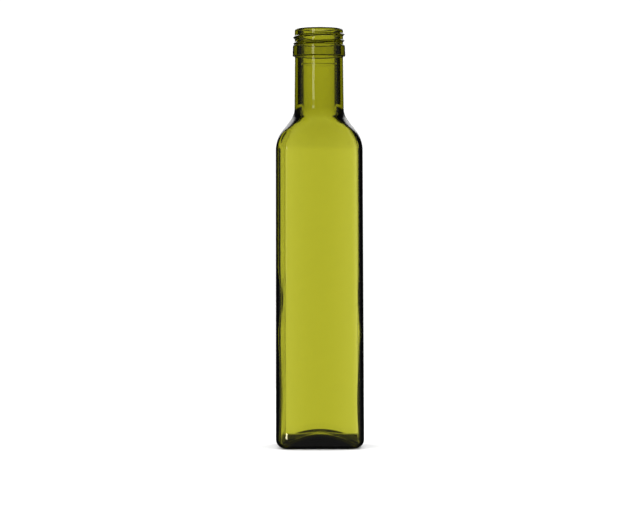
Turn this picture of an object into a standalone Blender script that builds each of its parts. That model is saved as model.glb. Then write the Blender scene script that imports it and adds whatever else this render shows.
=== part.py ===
"""Oil bottle: square green glass body, domed shoulder, round neck with a collar and a screw thread.

Metres, +Z up. The origin is the middle of the foot, on the surface that the bottle stands on.
The flat sides face X and Y. The bottle is empty and its mouth is open.
"""

import math

import bmesh
import bpy

MM = 0.001

# Outside
HEIGHT = 222.0 * MM
FOOT_HALF_WIDTH = 23.25 * MM
BODY_TOP_HALF_WIDTH = 22.88 * MM
BODY_CORNER_RADIUS = 7.4 * MM
HEEL_RADIUS = 5.0 * MM
PUSH_UP_RADIUS = 15.0 * MM
PUSH_UP_RISE = 3.5 * MM
SHOULDER_TOP_Z = 176.6 * MM
SHOULDER_BOTTOM_Z = 162.1 * MM
SHOULDER_RADIUS = 18.0 * MM
NECK_ROOT_RADIUS = 10.5 * MM
NECK_ROOT_HALF_WIDTH = 13.2 * MM
ROUND_FROM_Z = 175.5 * MM
SQUARE_BELOW_Z = 166.0 * MM

# Threaded finish at the top of the neck
NECK_TOP_RADIUS = 12.88 * MM
FINISH_RADIUS = 12.96 * MM
LIP_ROUNDING = 1.2 * MM
COLLAR_TOP_Z = 213.4 * MM
COLLAR_BOTTOM_Z = 207.3 * MM
COLLAR_TOP_RADIUS = 13.92 * MM
COLLAR_BOTTOM_RADIUS = 14.12 * MM
COLLAR_TOP_ROUNDING = 0.7 * MM
COLLAR_BOTTOM_ROUNDING = 0.25 * MM
THREAD_CREST_RADIUS = 13.9 * MM
THREAD_RIDGE_RADIUS = 0.6 * MM
THREAD_PITCH = 3.2 * MM
THREAD_START_ANGLE = math.radians(160.0)
THREAD_END_ANGLE = math.radians(765.0)
THREAD_HALF_TURN_Z = 214.15 * MM
THREAD_FADE_ANGLE = math.radians(35.0)
THREAD_END_SCALE = 0.25

# Inside
BORE_RADIUS = 9.4 * MM
WALL = 2.5 * MM
INNER_CORNER_RADIUS = 4.6 * MM
INNER_HEEL_RADIUS = 3.0 * MM
FLOOR_CROWN_Z = 7.2 * MM
FLOOR_EDGE_Z = 5.3 * MM
FLOOR_EDGE_RADIUS = 17.5 * MM
FLOOR_CORNER_Z = 4.5 * MM
INNER_SHOULDER_TOP_Z = 178.0 * MM
INNER_SHOULDER_BOTTOM_Z = 161.4 * MM
INNER_SHOULDER_RADIUS = 16.0 * MM
INNER_NECK_ROOT_RADIUS = 12.0 * MM
MOUTH_ROUNDING = 0.7 * MM
MOUTH_OVERSHOOT = 1.5 * MM

# The glass settles unevenly: the wall is thicker in a band, given as height, extra wall and half height
WALL_BANDS = [
    (78.0 * MM, 0.7 * MM, 10.0 * MM),
    (27.0 * MM, 0.7 * MM, 17.0 * MM),
]
BODY_RING_SPACING = 11.0 * MM

# Smoothness
SEGMENTS = 48
CORNER_PULL = 0.5
ARC_STEP = math.radians(11.0)
CAP_STEPS = 4
THREAD_STEPS_PER_TURN = 40
SHARP_ANGLE = math.radians(35.0)


def clear_scene():
    for obj in list(bpy.data.objects):
        bpy.data.objects.remove(obj, do_unlink=True)


def new_collection(name):
    collection = bpy.data.collections.new(name)
    bpy.context.scene.collection.children.link(collection)
    return collection


def smoothstep(value):
    t = min(max(value, 0.0), 1.0)
    return t * t * (3.0 - 2.0 * t)


def rounded_path(corners):
    """Outline through (half width, height, bend radius) corners, each bend an arc of its radius."""
    path = [corners[0][:2]]
    for before, corner, after in zip(corners, corners[1:], corners[2:]):
        path += bend(before, corner, after)
    path.append(corners[-1][:2])
    return path


def bend(before, corner, after):
    x, z, radius = corner
    into = unit(before[0] - x, before[1] - z)
    out_of = unit(after[0] - x, after[1] - z)
    between = math.acos(max(-1.0, min(1.0, into[0] * out_of[0] + into[1] * out_of[1])))
    turn = math.pi - between
    if radius == 0.0 or turn < math.radians(1.0):
        return [(x, z)]
    tangent = radius * math.tan(turn / 2)
    middle = unit(into[0] + out_of[0], into[1] + out_of[1])
    reach = radius / math.cos(turn / 2)
    centre = (x + middle[0] * reach, z + middle[1] * reach)
    start = (x + into[0] * tangent, z + into[1] * tangent)
    first = math.atan2(start[1] - centre[1], start[0] - centre[0])
    side = 1.0 if into[0] * out_of[1] - into[1] * out_of[0] < 0.0 else -1.0
    steps = max(2, math.ceil(turn / ARC_STEP))
    return [
        (
            centre[0] + radius * math.cos(first + side * turn * step / steps),
            centre[1] + radius * math.sin(first + side * turn * step / steps),
        )
        for step in range(steps + 1)
    ]


def unit(x, z):
    length = math.hypot(x, z)
    return x / length, z / length


def cap_points(radius, low, high):
    """A shallow spherical cap, from its crown at the axis out to its edge."""
    rise = high - low
    sphere = (radius * radius + rise * rise) / (2.0 * rise)
    spread = math.asin(radius / sphere)
    return [
        (
            sphere * math.sin(spread * step / CAP_STEPS),
            high - sphere * (1.0 - math.cos(spread * step / CAP_STEPS)),
        )
        for step in range(CAP_STEPS)
    ]


def body_half_width(z):
    """Half width of the flat sides, which narrow a little from the foot to the shoulder."""
    return FOOT_HALF_WIDTH + (BODY_TOP_HALF_WIDTH - FOOT_HALF_WIDTH) * z / SQUARE_BELOW_Z


def wall_thickness(z):
    extra = sum(more * math.exp(-(((z - middle) / reach) ** 2)) for middle, more, reach in WALL_BANDS)
    return WALL + extra


def squareness(z):
    """1 on the square body, 0 on the round neck."""
    return 1.0 - smoothstep((z - SQUARE_BELOW_Z) / (ROUND_FROM_Z - SQUARE_BELOW_Z))


def ring_points(half_width, corner, z):
    """One level section: a square with rounded corners, or a circle where the corner is as wide."""
    flat = half_width - corner
    pull = CORNER_PULL * flat / half_width
    points = []
    for index in range(SEGMENTS):
        turn = math.tau * index / SEGMENTS
        angle = turn + pull * math.sin(4.0 * turn) / 4.0
        long = max(abs(math.cos(angle)), abs(math.sin(angle)))
        short = min(abs(math.cos(angle)), abs(math.sin(angle)))
        reach = half_width / long
        if short * reach > flat:
            along = flat * (long + short)
            reach = along + math.sqrt(along * along - 2.0 * flat * flat + corner * corner)
        points.append((reach * math.cos(angle), reach * math.sin(angle), z))
    return points


def loft(name, path, corner_at, collection):
    """Closed solid through level rings, from the lowest point on the axis to the highest."""
    form = bmesh.new()
    bottom = form.verts.new((0.0, 0.0, path[0][1]))
    rings = []
    for half_width, z in path[1:-1]:
        corner = corner_at(half_width, z)
        rings.append([form.verts.new(point) for point in ring_points(half_width, corner, z)])
    top = form.verts.new((0.0, 0.0, path[-1][1]))
    for index in range(SEGMENTS):
        following = (index + 1) % SEGMENTS
        form.faces.new((bottom, rings[0][following], rings[0][index]))
        form.faces.new((top, rings[-1][index], rings[-1][following]))
        for lower, upper in zip(rings, rings[1:]):
            form.faces.new((lower[index], lower[following], upper[following], upper[index]))
    mesh = bpy.data.meshes.new(name)
    form.to_mesh(mesh)
    form.free()
    obj = bpy.data.objects.new(name, mesh)
    collection.objects.link(obj)
    return obj


def outer_corner(half_width, z):
    if z < HEEL_RADIUS:
        if half_width <= PUSH_UP_RADIUS:
            return half_width
        return BODY_CORNER_RADIUS - (body_half_width(z) - half_width)
    square = squareness(z)
    return square * min(BODY_CORNER_RADIUS, half_width) + (1.0 - square) * half_width


def inner_corner(half_width, z):
    if half_width <= FLOOR_EDGE_RADIUS and z < FLOOR_CROWN_Z + INNER_HEEL_RADIUS:
        return half_width
    square = squareness(z)
    return square * min(INNER_CORNER_RADIUS, half_width) + (1.0 - square) * half_width


def outer_path():
    push_up = cap_points(PUSH_UP_RADIUS, 0.0, PUSH_UP_RISE)
    outline = rounded_path(
        [
            (PUSH_UP_RADIUS, 0.0, 0.0),
            (FOOT_HALF_WIDTH, 0.0, HEEL_RADIUS),
            (body_half_width(SHOULDER_BOTTOM_Z), SHOULDER_BOTTOM_Z, SHOULDER_RADIUS),
            (NECK_ROOT_HALF_WIDTH, SHOULDER_TOP_Z, NECK_ROOT_RADIUS),
            (NECK_TOP_RADIUS, COLLAR_BOTTOM_Z, 0.0),
            (FINISH_RADIUS, COLLAR_TOP_Z, 0.0),
            (FINISH_RADIUS, HEIGHT, LIP_ROUNDING),
            (0.0, HEIGHT, 0.0),
        ]
    )
    return push_up + outline


def cavity_path():
    floor = cap_points(FLOOR_EDGE_RADIUS, FLOOR_EDGE_Z, FLOOR_CROWN_Z)
    low = FLOOR_CORNER_Z + INNER_HEEL_RADIUS
    high = INNER_SHOULDER_BOTTOM_Z - INNER_SHOULDER_RADIUS
    levels = math.ceil((high - low) / BODY_RING_SPACING)
    wall = []
    for level in range(1, levels):
        z = low + (high - low) * level / levels
        wall.append((body_half_width(z) - wall_thickness(z), z, 0.0))
    mouth_top = HEIGHT + MOUTH_OVERSHOOT
    outline = rounded_path(
        [
            (FLOOR_EDGE_RADIUS, FLOOR_EDGE_Z, 0.0),
            (body_half_width(low) - wall_thickness(low), FLOOR_CORNER_Z, INNER_HEEL_RADIUS),
            *wall,
            (
                body_half_width(INNER_SHOULDER_BOTTOM_Z) - wall_thickness(INNER_SHOULDER_BOTTOM_Z),
                INNER_SHOULDER_BOTTOM_Z,
                INNER_SHOULDER_RADIUS,
            ),
            (BORE_RADIUS, INNER_SHOULDER_TOP_Z, INNER_NECK_ROOT_RADIUS),
            (BORE_RADIUS, HEIGHT - MOUTH_ROUNDING, MOUTH_ROUNDING),
            (BORE_RADIUS + MOUTH_ROUNDING + MOUTH_OVERSHOOT, mouth_top, 0.0),
            (0.0, mouth_top, 0.0),
        ]
    )
    return floor + outline


def turned_collar(collection):
    """Solid disc with the collar's outline, turned about the axis."""
    outline = rounded_path(
        [
            (0.0, COLLAR_TOP_Z, 0.0),
            (COLLAR_TOP_RADIUS, COLLAR_TOP_Z, COLLAR_TOP_ROUNDING),
            (COLLAR_BOTTOM_RADIUS, COLLAR_BOTTOM_Z, COLLAR_BOTTOM_ROUNDING),
            (0.0, COLLAR_BOTTOM_Z, 0.0),
        ]
    )
    mesh = bpy.data.meshes.new("collar")
    mesh.from_pydata(
        [(radius, 0.0, z) for radius, z in outline],
        [(index, index + 1) for index in range(len(outline) - 1)],
        [],
    )
    obj = bpy.data.objects.new("collar", mesh)
    collection.objects.link(obj)
    screw = obj.modifiers.new("turn", "SCREW")
    screw.axis = "Z"
    screw.steps = SEGMENTS
    screw.render_steps = SEGMENTS
    screw.use_merge_vertices = True
    screw.merge_threshold = 0.00001
    return obj


def thread_points():
    """Right-hand helix, x, y, z and thickness scale, sinking into the neck at both ends."""
    steps = math.ceil((THREAD_END_ANGLE - THREAD_START_ANGLE) / math.tau * THREAD_STEPS_PER_TURN)
    centre_radius = THREAD_CREST_RADIUS - THREAD_RIDGE_RADIUS
    points = []
    for step in range(steps + 1):
        angle = THREAD_START_ANGLE + (THREAD_END_ANGLE - THREAD_START_ANGLE) * step / steps
        from_end = min(angle - THREAD_START_ANGLE, THREAD_END_ANGLE - angle)
        fade = smoothstep(from_end / THREAD_FADE_ANGLE)
        scale = THREAD_END_SCALE + (1.0 - THREAD_END_SCALE) * fade
        radius = centre_radius - THREAD_RIDGE_RADIUS * (1.0 - fade)
        z = THREAD_HALF_TURN_Z + THREAD_PITCH * (angle - math.pi) / math.tau
        points.append((radius * math.cos(angle), radius * math.sin(angle), z, scale))
    return points


def thread_ridge(collection):
    """Round ridge along the helix, as a closed mesh."""
    helix = bpy.data.curves.new("thread_line", "CURVE")
    helix.dimensions = "3D"
    helix.bevel_depth = THREAD_RIDGE_RADIUS
    helix.bevel_resolution = 2
    helix.use_fill_caps = True
    points = thread_points()
    spline = helix.splines.new("POLY")
    spline.points.add(len(points) - 1)
    for target, (x, y, z, scale) in zip(spline.points, points):
        target.co = (x, y, z, 1.0)
        target.radius = scale
    line = bpy.data.objects.new("thread_line", helix)
    collection.objects.link(line)
    bpy.context.view_layer.update()
    evaluated = line.evaluated_get(bpy.context.evaluated_depsgraph_get())
    mesh = bpy.data.meshes.new_from_object(evaluated)
    form = bmesh.new()
    form.from_mesh(mesh)
    bmesh.ops.remove_doubles(form, verts=form.verts, dist=0.000001)
    form.to_mesh(mesh)
    form.free()
    ridge = bpy.data.objects.new("thread", mesh)
    ridge.matrix_world = line.matrix_world
    collection.objects.link(ridge)
    bpy.data.objects.remove(line, do_unlink=True)
    return ridge


def as_tool(obj):
    obj.hide_render = True
    obj.display_type = "WIRE"


def combine(target, tool, operation):
    change = target.modifiers.new(tool.name, "BOOLEAN")
    change.operation = operation
    change.object = tool
    as_tool(tool)


def green_glass():
    material = bpy.data.materials.new("green_glass")
    material.use_nodes = True
    shader = material.node_tree.nodes["Principled BSDF"]
    shader.inputs["Base Color"].default_value = (0.42, 0.43, 0.03, 1.0)
    shader.inputs["Roughness"].default_value = 0.02
    shader.inputs["Metallic"].default_value = 0.0
    shader.inputs["IOR"].default_value = 1.52
    shader.inputs["Transmission Weight"].default_value = 1.0
    return material


def build_bottle():
    parts = new_collection("oil_bottle")
    tools = new_collection("oil_bottle_tools")
    bottle = loft("bottle", outer_path(), outer_corner, parts)
    combine(bottle, turned_collar(tools), "UNION")
    combine(bottle, thread_ridge(tools), "UNION")
    combine(bottle, loft("cavity", cavity_path(), inner_corner, tools), "DIFFERENCE")
    bottle.data.materials.append(green_glass())
    bottle.data.shade_smooth()
    bottle.data.set_sharp_from_angle(angle=SHARP_ANGLE)
    return bottle


clear_scene()
build_bottle()
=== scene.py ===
import math

import bpy
import numpy as np
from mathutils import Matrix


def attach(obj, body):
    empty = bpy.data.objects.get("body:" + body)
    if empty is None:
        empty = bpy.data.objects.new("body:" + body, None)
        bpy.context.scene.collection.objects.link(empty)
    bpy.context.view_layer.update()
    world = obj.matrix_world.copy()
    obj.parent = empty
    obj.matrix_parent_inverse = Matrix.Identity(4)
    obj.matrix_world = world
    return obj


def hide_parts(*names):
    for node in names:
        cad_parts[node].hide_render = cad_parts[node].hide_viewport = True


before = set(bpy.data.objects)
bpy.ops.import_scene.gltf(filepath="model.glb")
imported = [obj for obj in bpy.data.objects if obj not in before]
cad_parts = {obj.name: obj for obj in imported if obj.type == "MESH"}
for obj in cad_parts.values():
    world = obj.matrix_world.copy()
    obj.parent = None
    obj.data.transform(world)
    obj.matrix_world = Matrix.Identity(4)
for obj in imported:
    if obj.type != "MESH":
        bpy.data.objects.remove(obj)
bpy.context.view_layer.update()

MM = 0.001

# Directions seen from above, in degrees anticlockwise from +X
LEFT = 180.0
RIGHT = 0.0
FRONT = 270.0
BACK = 90.0

# Outside of the bottle, as in the solid and a thousandth of a millimetre inside it at the foot
HEIGHT = 222.0 * MM
FOOT_HALF_WIDTH = 23.249 * MM
BODY_TOP_HALF_WIDTH = 22.88 * MM
BODY_CORNER_RADIUS = 7.4 * MM
HEEL_RADIUS = 5.0 * MM
PUSH_UP_RADIUS = 15.0 * MM
PUSH_UP_RISE = 3.5 * MM
SHOULDER_TOP_Z = 176.6 * MM
SHOULDER_BOTTOM_Z = 162.1 * MM
SHOULDER_RADIUS = 18.0 * MM
NECK_ROOT_RADIUS = 10.5 * MM
NECK_ROOT_HALF_WIDTH = 13.2 * MM
ROUND_FROM_Z = 175.5 * MM
SQUARE_BELOW_Z = 166.0 * MM

# Threaded finish. The thread hangs a little lower at the front than its pitch alone would put it.
NECK_TOP_RADIUS = 12.88 * MM
FINISH_RADIUS = 12.96 * MM
FINISH_ROOT_ROUNDING = 0.2 * MM
LIP_ROUNDING = 1.2 * MM
COLLAR_TOP_Z = 213.4 * MM
COLLAR_BOTTOM_Z = 207.3 * MM
COLLAR_TOP_RADIUS = 13.92 * MM
COLLAR_BOTTOM_RADIUS = 14.12 * MM
COLLAR_TOP_ROUNDING = 0.7 * MM
COLLAR_BOTTOM_ROUNDING = 0.35 * MM
COLLAR_ROOT_ROUNDING = 0.7 * MM
THREAD_HEIGHT = 0.9 * MM
THREAD_HALF_HEIGHT = 0.86 * MM
THREAD_FLANK = 1.2
THREAD_PITCH = 3.2 * MM
THREAD_START_ANGLE = math.radians(160.0)
THREAD_END_ANGLE = math.radians(765.0)
THREAD_TURNS = math.ceil(THREAD_END_ANGLE / math.tau)
THREAD_HALF_TURN_Z = 214.15 * MM
THREAD_FADE_ANGLE = math.radians(30.0)
THREAD_SAG = 0.65 * MM
THREAD_SAG_ANGLE = math.radians(60.0)

# Inside. The floor is round near its crown and square near the walls.
BORE_RADIUS = 9.4 * MM
WALL = 2.2 * MM
INNER_CORNER_RADIUS_LEFT = 5.2 * MM
INNER_CORNER_RADIUS_RIGHT = 3.6 * MM
INNER_HEEL_RADIUS = 1.9 * MM
FLOOR_CROWN_Z = 7.2 * MM
FLOOR_EDGE_Z = 2.0 * MM
FLOOR_EDGE_RADIUS = 18.2 * MM
FLOOR_CORNER_Z = 1.7 * MM
FLOOR_ROUND_WITHIN = 8.0 * MM
FLOOR_SIDE_RISE = 4.8 * MM
FLOOR_RISE_POWER = 1.3
FLOOR_RISE_TOP_Z = 14.0 * MM
INNER_SHOULDER_TOP_Z = 177.5 * MM
INNER_SHOULDER_BOTTOM_Z = 161.5 * MM
INNER_SHOULDER_RADIUS = 16.0 * MM
INNER_NECK_ROOT_RADIUS = 15.0 * MM
MOUTH_ROUNDING = 1.4 * MM

# Low ring on the bore. It fades out towards the sides between these two sines of its direction.
BORE_RING_Z = 203.0 * MM
BORE_RING_HEIGHT = 0.16 * MM
BORE_RING_HALF_HEIGHT = 0.42 * MM
BORE_RING_EDGE = (0.5, 0.62)

# Uneven inner wall: extra wall on each side, more in the middle of a panel, and waves with
# their side, height, extra wall and half height. PANEL_EDGE is how far out the extra of a panel
# reaches, as a part of the half width. A side begins at the cosine SIDE_FACING from its middle.
SIDE_EXTRA = {LEFT: 0.1 * MM, RIGHT: 0.4 * MM, FRONT: 0.0, BACK: 0.0}
PANEL_EXTRA = {LEFT: 0.0, RIGHT: 0.0, FRONT: 0.37 * MM, BACK: 0.37 * MM}
PANEL_EDGE = 0.81
SIDE_FACING = 0.72
SIDE_FADE = 0.09
WAVES = [
    (LEFT, 78.0 * MM, 1.5 * MM, 9.0 * MM),
    (LEFT, 28.0 * MM, 1.0 * MM, 20.0 * MM),
    (RIGHT, 80.0 * MM, 0.5 * MM, 8.0 * MM),
    (RIGHT, 60.0 * MM, -0.7 * MM, 6.0 * MM),
    (RIGHT, 24.0 * MM, 1.4 * MM, 18.0 * MM),
]

# Fineness of the mesh. CORNER_PULL moves the segments of a level section towards its corners.
SEGMENTS = 224
TURN = np.arange(SEGMENTS) * math.tau / SEGMENTS
CORNER_PULL = 0.5
ARC_STEP = math.radians(5.0)
ARC_LEAST_STEPS = 3
STRAIGHT_ANGLE = math.radians(1.0)
CAP_STEPS = 14
BODY_SPACING = 2.5 * MM
NECK_SPACING = 1.0 * MM
FINISH_SPACING = 0.16 * MM
BORE_RING_SPACING = 0.07 * MM
NECK_FROM_Z = 150.0 * MM
FINISH_FROM_Z = 206.0 * MM

# How near points are that count as one place, as on the inner wall or as on the finish
SAME_PLACE = 0.0001 * MM
ON_WALL = 0.01 * MM
ON_FINISH = 0.05 * MM

# Glass: its refraction, its colour in depth, and the soft unevenness of its surface
GLASS_IOR = 1.52
GLASS_ABSORPTION_COLOUR = (0.773, 0.773, 0.02, 1.0)
GLASS_ABSORPTION_DENSITY = 790.0
GLASS_NOISE_SCALE = 70.0
GLASS_BUMP = 0.01 * MM
GLASS_ROUGHNESS = (0.0, 0.01)
NOISE_DETAIL = 2.0

# Table top
TABLE_RADIUS = 0.55
TABLE_GAP = 0.2 * MM
TABLE_SEGMENTS = 96
FLOOR_NOISE_SCALE = 400.0
FLOOR_BUMP = 0.05 * MM
FLOOR_ROUGHNESS = (0.85, 0.95)
FLOOR_COLOURS = ((0.88, 0.88, 0.88, 1.0), (0.92, 0.92, 0.92, 1.0))

# The photograph's camera
IMAGE_WIDTH_PX = 640.0
FOCAL_PX = 2355.5
SENSOR_MM = 36.0
CAMERA_DISTANCE = 1254.0 * MM
CAMERA_HEIGHT = 101.15 * MM
CAMERA_SIDE = 0.25 * MM
CAMERA_ROLL = math.radians(0.16)
CAMERA_CLIP_START = 10.0 * MM

# Strengths of the surroundings, where 1 is the white of the picture
BACKGROUND_LIGHT = 1.1
TABLE_LIGHT = 2.0
SCREEN_LIGHT = 1.15
SLOPE_LIGHT = 1.5
ROOM_LIGHT = 0.18
FLAG_LIGHT = 0.02

# Where each part of the surroundings begins and ends. An edge is the cosine of the direction from
# straight behind the bottle. The other pairs are sines of the angle above level, and FLAG_TOP is
# also one below it. These are seen through the glass, and the room is mirrored by it too.
BACK_SCREEN_EDGE = (0.89, 0.955)
ROOM_EDGE = (0.105, 0.31)
FLAG_TOP = (0.12, 0.2)
WINDOW_TOP = (0.28, 0.4)
WINDOW_FLOOR = (-0.42, -0.22)

# The same for what the glass mirrors. MIRRORED_ABOVE is the share of light left above the top.
MIRRORED_EDGE = (0.93, 0.985)
MIRRORED_FLOOR = (-0.14, -0.04)
MIRRORED_TOP = (0.5, 0.62)
MIRRORED_ABOVE = 0.35
SLOPE_EDGE = (0.75, 0.95)
SLOPE_FROM = (0.2, 0.36)
SLOPE_TO = (0.5, 0.62)

# Keeps the root of a level length, which divides, away from nought
SMALL = 0.0001

# Lamps in front and to the left: width, lowest and highest point, and brightness
LAMP_ANGLE = math.radians(26.0)
LAMP_DISTANCE = 1.0
LAMP_COLOUR = (1.0, 0.94, 0.6)
LAMPS = {
    "softbox": (0.13, 0.08, 0.27, 2.6),
    "softbox_top": (0.2, 0.27, 0.42, 11.5),
    "heel_lamp": (0.2, -0.1, -0.06, 60.0),
}

# How many times light may bounce in all, and how many of these may be mirrorings
MOST_BOUNCES = 32
MOST_MIRRORINGS = 16


def smoothstep(value):
    t = np.clip(value, 0.0, 1.0)
    return t * t * (3.0 - 2.0 * t)


def unit(x, z):
    length = math.hypot(x, z)
    return x / length, z / length


def bend(before, corner, after):
    """Points of the arc that rounds one corner of an outline, or the corner where it is sharp."""
    x, z, radius = corner
    into = unit(before[0] - x, before[1] - z)
    out_of = unit(after[0] - x, after[1] - z)
    between = math.acos(max(-1.0, min(1.0, into[0] * out_of[0] + into[1] * out_of[1])))
    turn = math.pi - between
    if radius == 0.0 or turn < STRAIGHT_ANGLE:
        return [(x, z)]
    tangent = radius * math.tan(turn / 2)
    middle = unit(into[0] + out_of[0], into[1] + out_of[1])
    reach = radius / math.cos(turn / 2)
    centre = (x + middle[0] * reach, z + middle[1] * reach)
    start = (x + into[0] * tangent, z + into[1] * tangent)
    first = math.atan2(start[1] - centre[1], start[0] - centre[0])
    side = 1.0 if into[0] * out_of[1] - into[1] * out_of[0] < 0.0 else -1.0
    steps = max(ARC_LEAST_STEPS, math.ceil(turn / ARC_STEP))
    return [
        (
            centre[0] + radius * math.cos(first + side * turn * step / steps),
            centre[1] + radius * math.sin(first + side * turn * step / steps),
        )
        for step in range(steps + 1)
    ]


def rounded_path(corners):
    """Outline through (half width, height, bend radius) corners, each bend an arc of its radius."""
    path = [corners[0][:2]]
    for before, corner, after in zip(corners, corners[1:], corners[2:]):
        path += bend(before, corner, after)
    path.append(corners[-1][:2])
    return path


def cap_points(radius, low, high):
    """A shallow spherical cap, from its crown at the axis out to the last point before its edge."""
    rise = high - low
    sphere = (radius * radius + rise * rise) / (2.0 * rise)
    spread = math.asin(radius / sphere)
    return [
        (
            sphere * math.sin(spread * step / CAP_STEPS),
            high - sphere * (1.0 - math.cos(spread * step / CAP_STEPS)),
        )
        for step in range(CAP_STEPS)
    ]


def outer_spacing_at(z):
    if z > FINISH_FROM_Z:
        return FINISH_SPACING
    return NECK_SPACING if z > NECK_FROM_Z else BODY_SPACING


def inner_spacing_at(z):
    if abs(z - BORE_RING_Z) < BORE_RING_HALF_HEIGHT:
        return BORE_RING_SPACING
    return NECK_SPACING if z > NECK_FROM_Z else BODY_SPACING


def refine(path, spacing_at):
    """The same outline with its long steps split, so that each is at most as long as the spacing."""
    fine = [path[0]]
    for (x0, z0), (x1, z1) in zip(path, path[1:]):
        length = math.hypot(x1 - x0, z1 - z0)
        if length < SAME_PLACE:
            continue
        steps = max(1, math.ceil(length / spacing_at((z0 + z1) / 2)))
        for step in range(1, steps + 1):
            t = step / steps
            fine.append((x0 + (x1 - x0) * t, z0 + (z1 - z0) * t))
    return fine


def body_half_width(z):
    return FOOT_HALF_WIDTH + (BODY_TOP_HALF_WIDTH - FOOT_HALF_WIDTH) * z / SQUARE_BELOW_Z


def squareness(z):
    """1 over the body, 0 over the neck, and in between over the shoulder."""
    return 1.0 - smoothstep((z - SQUARE_BELOW_Z) / (ROUND_FROM_Z - SQUARE_BELOW_Z))


def long_and_short(angle):
    """The larger and the smaller of a direction's shares along X and Y."""
    along_x = np.abs(np.cos(angle))
    along_y = np.abs(np.sin(angle))
    return np.maximum(along_x, along_y), np.minimum(along_x, along_y)


def section(half_width, corner):
    """Angles and distances from the axis of one level section, a square with rounded corners."""
    flat = half_width - corner
    angle = TURN + CORNER_PULL * flat / half_width * np.sin(4.0 * TURN) / 4.0
    long, short = long_and_short(angle)
    reach = half_width / long
    along = flat * (long + short)
    rounded = along + np.sqrt(np.maximum(along**2 - 2.0 * flat**2 + corner**2, 0.0))
    return angle, np.where(short * reach > flat, rounded, reach)


def outer_corner(half_width, z):
    """Corner radius of a level section of the outside, which is round in the push-up and the neck."""
    if z < HEEL_RADIUS:
        if half_width <= PUSH_UP_RADIUS:
            return half_width
        return BODY_CORNER_RADIUS - (body_half_width(z) - half_width)
    square = float(squareness(z))
    return square * min(BODY_CORNER_RADIUS, half_width) + (1.0 - square) * half_width


def inner_corner(half_width, z):
    """Corner radii of a level section of the inside, which differ between the left and the right."""
    wall_side = body_half_width(z) - WALL
    if z < FLOOR_CROWN_Z + INNER_HEEL_RADIUS and half_width < wall_side - ON_WALL:
        square = float(smoothstep((half_width - FLOOR_ROUND_WITHIN) / (wall_side - FLOOR_ROUND_WITHIN)))
    else:
        square = float(squareness(z))
    corner = np.where(np.cos(TURN) < 0.0, INNER_CORNER_RADIUS_LEFT, INNER_CORNER_RADIUS_RIGHT)
    return square * np.minimum(corner, half_width) + (1.0 - square) * half_width


def thread_ridge(angle, z):
    """How far the thread stands out of the neck at an angle and a height."""
    out = np.zeros_like(angle)
    for turn in range(THREAD_TURNS):
        winding = np.mod(angle, math.tau) + math.tau * turn
        middle = THREAD_HALF_TURN_Z + THREAD_PITCH * (winding - math.pi) / math.tau
        from_front = (winding - math.radians(FRONT)) / THREAD_SAG_ANGLE
        middle = middle - THREAD_SAG * np.exp(-(from_front**2))
        from_end = np.minimum(winding - THREAD_START_ANGLE, THREAD_END_ANGLE - winding)
        fade = smoothstep(from_end / THREAD_FADE_ANGLE)
        across = 1.0 - np.abs(z - middle) / THREAD_HALF_HEIGHT
        out = np.maximum(out, THREAD_HEIGHT * fade * np.clip(across, 0.0, 1.0) ** THREAD_FLANK)
    return out


def outer_relief(angle, half_width, z):
    """What stands out of the outside: the thread, on the finish above the collar."""
    if z > COLLAR_BOTTOM_Z and half_width < FINISH_RADIUS + ON_FINISH:
        return thread_ridge(angle, z)
    return np.zeros_like(angle)


def bore_ring(angle, z):
    """Low ring inside the neck, at its front and its back."""
    up = float(smoothstep(1.0 - abs(z - BORE_RING_Z) / BORE_RING_HALF_HEIGHT))
    fades, full = BORE_RING_EDGE
    return BORE_RING_HEIGHT * up * smoothstep((np.abs(np.sin(angle)) - fades) / (full - fades))


def inner_relief(angle, half_width, z):
    """Extra wall on the inside, by direction and height."""
    extra = np.zeros_like(angle)
    for side in SIDE_EXTRA:
        facing = np.cos(angle - math.radians(side))
        level = np.maximum(facing, SIDE_FACING)
        across = np.sqrt(1.0 - level**2) / level / PANEL_EDGE
        on_side = smoothstep((facing - SIDE_FACING) / SIDE_FADE)
        more = SIDE_EXTRA[side] + PANEL_EXTRA[side] * np.maximum(1.0 - across**2, 0.0)
        for where, middle, height, reach in WAVES:
            if where == side:
                more = more + height * math.exp(-(((z - middle) / reach) ** 2))
        extra = extra + on_side * more / level
    return -extra * float(squareness(z)) - bore_ring(angle, z)


def level_foot(angle, half_width, z):
    """No rise: the rings of the outside are level all round, unlike those of the floor inside."""
    return np.zeros_like(angle)


def floor_rise(angle, half_width, z):
    """How much higher the floor meets the middle of each side than it meets the corners."""
    if z > FLOOR_RISE_TOP_Z:
        return np.zeros_like(angle)
    long, short = long_and_short(angle)
    across = short / long
    outward = min(half_width / FLOOR_EDGE_RADIUS, 1.0) ** 2
    low = float(smoothstep((FLOOR_RISE_TOP_Z - z) / (FLOOR_RISE_TOP_Z - FLOOR_CORNER_Z)))
    return FLOOR_SIDE_RISE * outward * low * np.maximum(1.0 - across**2, 0.0) ** FLOOR_RISE_POWER


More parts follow.
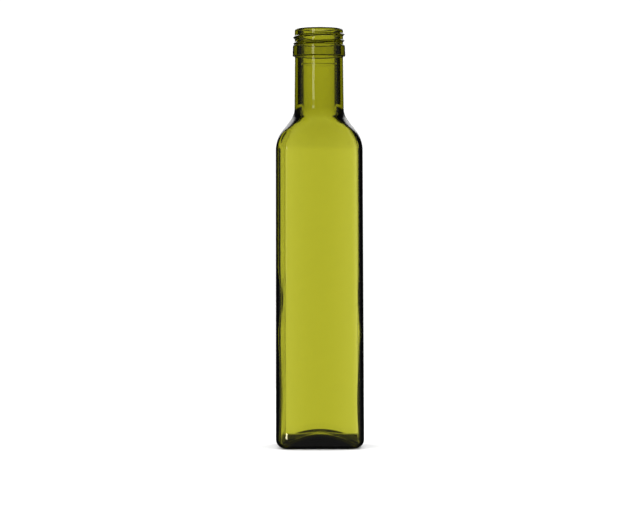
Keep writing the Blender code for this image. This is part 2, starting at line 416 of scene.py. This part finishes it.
def outer_path():
    """Outline of the outside, from the axis under the foot up to the rim."""
    push_up = cap_points(PUSH_UP_RADIUS, 0.0, PUSH_UP_RISE)
    outline = rounded_path(
        [
            (PUSH_UP_RADIUS, 0.0, 0.0),
            (FOOT_HALF_WIDTH, 0.0, HEEL_RADIUS),
            (body_half_width(SHOULDER_BOTTOM_Z), SHOULDER_BOTTOM_Z, SHOULDER_RADIUS),
            (NECK_ROOT_HALF_WIDTH, SHOULDER_TOP_Z, NECK_ROOT_RADIUS),
            (NECK_TOP_RADIUS, COLLAR_BOTTOM_Z, COLLAR_ROOT_ROUNDING),
            (COLLAR_BOTTOM_RADIUS, COLLAR_BOTTOM_Z, COLLAR_BOTTOM_ROUNDING),
            (COLLAR_TOP_RADIUS, COLLAR_TOP_Z, COLLAR_TOP_ROUNDING),
            (FINISH_RADIUS, COLLAR_TOP_Z, FINISH_ROOT_ROUNDING),
            (FINISH_RADIUS, HEIGHT, LIP_ROUNDING),
            (BORE_RADIUS + MOUTH_ROUNDING, HEIGHT, 0.0),
        ]
    )
    return refine(push_up + outline, outer_spacing_at)


def inner_path():
    """Outline of the inside, from the axis on the floor up to the rim."""
    floor = cap_points(FLOOR_EDGE_RADIUS, FLOOR_EDGE_Z, FLOOR_CROWN_Z)
    inner_top = body_half_width(INNER_SHOULDER_BOTTOM_Z) - WALL
    outline = rounded_path(
        [
            (FLOOR_EDGE_RADIUS, FLOOR_EDGE_Z, 0.0),
            (body_half_width(FLOOR_CORNER_Z) - WALL, FLOOR_CORNER_Z, INNER_HEEL_RADIUS),
            (inner_top, INNER_SHOULDER_BOTTOM_Z, INNER_SHOULDER_RADIUS),
            (BORE_RADIUS, INNER_SHOULDER_TOP_Z, INNER_NECK_ROOT_RADIUS),
            (BORE_RADIUS, BORE_RING_Z - BORE_RING_HALF_HEIGHT, 0.0),
            (BORE_RADIUS, BORE_RING_Z + BORE_RING_HALF_HEIGHT, 0.0),
            (BORE_RADIUS, HEIGHT, MOUTH_ROUNDING),
            (BORE_RADIUS + MOUTH_ROUNDING, HEIGHT, 0.0),
        ]
    )
    return refine(floor + outline, inner_spacing_at)


def rings_of(path, corner_at, relief_at, rise_at):
    """One closed ring of points for each point of an outline."""
    rings = []
    for half_width, z in path:
        angle, reach = section(half_width, corner_at(half_width, z))
        reach = reach + relief_at(angle, half_width, z)
        height = z + rise_at(angle, half_width, z)
        rings.append(np.column_stack([reach * np.cos(angle), reach * np.sin(angle), height]))
    return rings


def bottle_mesh():
    """Closed surface of the glass: up the outside, over the rim and down the inside."""
    outside = outer_path()
    inside = inner_path()
    rings = rings_of(outside[1:], outer_corner, outer_relief, level_foot)
    rings += rings_of(inside[1:-1], inner_corner, inner_relief, floor_rise)[::-1]
    points = [(0.0, 0.0, outside[0][1])]
    points += [tuple(point) for ring in rings for point in ring]
    points.append((0.0, 0.0, inside[0][1]))
    last = len(points) - 1
    last_ring = 1 + (len(rings) - 1) * SEGMENTS
    faces = []
    for index in range(SEGMENTS):
        following = (index + 1) % SEGMENTS
        faces.append((0, 1 + following, 1 + index))
        faces.append((last, last_ring + index, last_ring + following))
        for level in range(len(rings) - 1):
            low = 1 + level * SEGMENTS
            high = low + SEGMENTS
            faces.append((low + index, low + following, high + following, high + index))
    mesh = bpy.data.meshes.new("bottle_glass")
    mesh.from_pydata(points, [], faces)
    mesh.update()
    mesh.shade_smooth()
    return mesh


def surface_detail(material, scale, bump_distance, roughness):
    """Fine unevenness of a surface: a bump and a change of roughness, both from soft noise."""
    nodes = material.node_tree.nodes
    links = material.node_tree.links
    shader = nodes["Principled BSDF"]
    place = nodes.new("ShaderNodeTexCoord")
    noise = nodes.new("ShaderNodeTexNoise")
    noise.inputs["Scale"].default_value = scale
    noise.inputs["Detail"].default_value = NOISE_DETAIL
    links.new(place.outputs["Object"], noise.inputs["Vector"])
    spread = nodes.new("ShaderNodeMapRange")
    spread.inputs["To Min"].default_value, spread.inputs["To Max"].default_value = roughness
    links.new(noise.outputs["Fac"], spread.inputs["Value"])
    links.new(spread.outputs["Result"], shader.inputs["Roughness"])
    bump = nodes.new("ShaderNodeBump")
    bump.inputs["Distance"].default_value = bump_distance
    links.new(noise.outputs["Fac"], bump.inputs["Height"])
    links.new(bump.outputs["Normal"], shader.inputs["Normal"])
    return noise


def glass_material():
    """Clear glass whose green comes from the depth of glass that the light goes through."""
    material = bpy.data.materials.new("green_glass")
    material.use_nodes = True
    nodes = material.node_tree.nodes
    shader = nodes["Principled BSDF"]
    shader.inputs["Base Color"].default_value = (1.0, 1.0, 1.0, 1.0)
    shader.inputs["IOR"].default_value = GLASS_IOR
    shader.inputs["Transmission Weight"].default_value = 1.0
    surface_detail(material, GLASS_NOISE_SCALE, GLASS_BUMP, GLASS_ROUGHNESS)
    volume = nodes.new("ShaderNodeVolumeAbsorption")
    volume.inputs["Color"].default_value = GLASS_ABSORPTION_COLOUR
    volume.inputs["Density"].default_value = GLASS_ABSORPTION_DENSITY
    material.node_tree.links.new(volume.outputs["Volume"], nodes["Material Output"].inputs["Volume"])
    return material


def make_bottle():
    bottle = bpy.data.objects.new("bottle_glass", bottle_mesh())
    bpy.context.scene.collection.objects.link(bottle)
    bottle.data.materials.append(glass_material())
    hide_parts("bottle")
    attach(bottle, "root")


def table_material():
    """Matt, nearly white surface with a faint, even grain."""
    material = bpy.data.materials.new("studio_floor")
    material.use_nodes = True
    nodes = material.node_tree.nodes
    links = material.node_tree.links
    noise = surface_detail(material, FLOOR_NOISE_SCALE, FLOOR_BUMP, FLOOR_ROUGHNESS)
    tint = nodes.new("ShaderNodeMix")
    tint.data_type = "RGBA"
    tint.inputs["A"].default_value, tint.inputs["B"].default_value = FLOOR_COLOURS
    links.new(noise.outputs["Fac"], tint.inputs["Factor"])
    links.new(tint.outputs["Result"], nodes["Principled BSDF"].inputs["Base Color"])
    return material


def make_floor():
    """Round pale table top, lit so evenly that it runs into the white surroundings."""
    bpy.ops.mesh.primitive_circle_add(
        vertices=TABLE_SEGMENTS,
        radius=TABLE_RADIUS,
        fill_type="NGON",
        location=(0.0, 0.0, -TABLE_GAP),
    )
    floor = bpy.context.object
    floor.name = "studio_floor"
    floor.data.materials.append(table_material())
    floor.visible_glossy = False
    floor.visible_transmission = False


class WorldNodes:
    """Small helpers that add nodes to the world's shader."""

    def __init__(self, tree):
        self.nodes = tree.nodes
        self.links = tree.links

    def feed(self, socket, value):
        if isinstance(value, bpy.types.NodeSocket):
            self.links.new(value, socket)
        else:
            socket.default_value = value

    def math(self, operation, first, second=0.0):
        node = self.nodes.new("ShaderNodeMath")
        node.operation = operation
        self.feed(node.inputs[0], first)
        self.feed(node.inputs[1], second)
        return node.outputs[0]

    def product(self, first, second):
        return self.math("MULTIPLY", first, second)

    def brighter(self, first, second):
        return self.math("MAXIMUM", first, second)

    def ramp(self, value, low, high, start, end):
        """Smooth step from start, where value is low, to end, where it is high."""
        node = self.nodes.new("ShaderNodeMapRange")
        node.interpolation_type = "SMOOTHSTEP"
        self.feed(node.inputs["Value"], value)
        node.inputs["From Min"].default_value = low
        node.inputs["From Max"].default_value = high
        self.feed(node.inputs["To Min"], start)
        self.feed(node.inputs["To Max"], end)
        return node.outputs["Result"]

    def mix(self, factor, first, second):
        """First where the factor is 0, second where it is 1."""
        rest = self.math("SUBTRACT", 1.0, factor)
        return self.math("ADD", self.product(rest, first), self.product(factor, second))


def light_seen_through(nodes, toward, z):
    """A screen behind and the room beside and in front, with dark flags between them."""
    screen = nodes.ramp(toward, *BACK_SCREEN_EDGE, 0.0, 1.0)
    room = nodes.ramp(toward, *ROOM_EDGE, 1.0, 0.0)
    past_flags = nodes.ramp(nodes.math("ABSOLUTE", z), *FLAG_TOP, 0.0, 1.0)
    lit = nodes.brighter(nodes.brighter(screen, room), past_flags)
    below_top = nodes.ramp(z, *WINDOW_TOP, 1.0, 0.0)
    above_floor = nodes.ramp(z, *WINDOW_FLOOR, 0.0, 1.0)
    in_window = nodes.product(below_top, above_floor)
    return nodes.mix(nodes.product(lit, in_window), FLAG_LIGHT, SCREEN_LIGHT)


def light_mirrored(nodes, toward, z):
    """A narrow screen behind, a brighter and wider band higher up behind, and the dim room."""
    above_floor = nodes.ramp(z, *MIRRORED_FLOOR, 0.0, SCREEN_LIGHT)
    across = nodes.ramp(toward, *MIRRORED_EDGE, 0.0, above_floor)
    upward = nodes.ramp(z, *MIRRORED_TOP, 1.0, MIRRORED_ABOVE)
    screen = nodes.product(across, upward)
    from_below = nodes.ramp(z, *SLOPE_FROM, 0.0, 1.0)
    to_above = nodes.ramp(z, *SLOPE_TO, 1.0, 0.0)
    on_slope = nodes.product(from_below, to_above)
    slope = nodes.product(on_slope, nodes.ramp(toward, *SLOPE_EDGE, 0.0, SLOPE_LIGHT))
    room = nodes.ramp(toward, *ROOM_EDGE, ROOM_LIGHT, FLAG_LIGHT)
    return nodes.math("ADD", nodes.brighter(screen, slope), room)


def make_world():
    """White surroundings for the camera and the table, and a studio for the light in the glass."""
    world = bpy.data.worlds.new("studio")
    world.use_nodes = True
    bpy.context.scene.world = world
    nodes = WorldNodes(world.node_tree)
    direction = nodes.nodes.new("ShaderNodeTexCoord").outputs["Generated"]
    split = nodes.nodes.new("ShaderNodeSeparateXYZ")
    nodes.links.new(direction, split.inputs[0])
    x, y, z = split.outputs
    flat = nodes.math("ADD", nodes.product(x, x), nodes.product(y, y))
    level = nodes.math("SQRT", nodes.math("ADD", flat, SMALL))
    toward = nodes.math("DIVIDE", y, level)
    seen_through = light_seen_through(nodes, toward, z)
    mirrored = light_mirrored(nodes, toward, z)
    path = nodes.nodes.new("ShaderNodeLightPath").outputs
    strength = nodes.mix(path["Is Transmission Ray"], mirrored, seen_through)
    strength = nodes.mix(path["Is Diffuse Ray"], strength, TABLE_LIGHT)
    strength = nodes.mix(path["Is Camera Ray"], strength, BACKGROUND_LIGHT)
    background = world.node_tree.nodes["Background"]
    background.inputs["Color"].default_value = (1.0, 1.0, 1.0, 1.0)
    nodes.feed(background.inputs["Strength"], strength)


def make_lamps():
    """Soft lights in front and to the left, whose mirror images are the bright lines on the bottle."""
    for name, (width, bottom, top, brightness) in LAMPS.items():
        light = bpy.data.lights.new(name, "AREA")
        light.shape = "RECTANGLE"
        light.size = width
        light.size_y = top - bottom
        light.energy = brightness * width * (top - bottom)
        light.color = LAMP_COLOUR
        lamp = bpy.data.objects.new(name, light)
        bpy.context.scene.collection.objects.link(lamp)
        lamp.location = (
            -LAMP_DISTANCE * math.sin(LAMP_ANGLE),
            -LAMP_DISTANCE * math.cos(LAMP_ANGLE),
            (bottom + top) / 2,
        )
        lamp.rotation_euler = (math.pi / 2, 0.0, -LAMP_ANGLE)
        lamp.visible_camera = False
        lamp.visible_transmission = False


def make_camera():
    camera = bpy.data.objects.new("camera", bpy.data.cameras.new("camera"))
    bpy.context.scene.collection.objects.link(camera)
    camera.data.sensor_fit = "HORIZONTAL"
    camera.data.sensor_width = SENSOR_MM
    camera.data.lens = FOCAL_PX * SENSOR_MM / IMAGE_WIDTH_PX
    camera.data.clip_start = CAMERA_CLIP_START
    camera.location = (CAMERA_SIDE, -CAMERA_DISTANCE, CAMERA_HEIGHT)
    camera.rotation_euler = (math.pi / 2, CAMERA_ROLL, 0.0)
    bpy.context.scene.camera = camera


def set_light_paths():
    """Plain colours, and enough bounces for light that turns many times inside the thick glass."""
    scene = bpy.context.scene
    scene.view_settings.view_transform = "Standard"
    scene.cycles.max_bounces = MOST_BOUNCES
    scene.cycles.transmission_bounces = MOST_BOUNCES
    scene.cycles.glossy_bounces = MOST_MIRRORINGS


make_camera()
make_world()
make_lamps()
make_floor()
make_bottle()
set_light_paths()
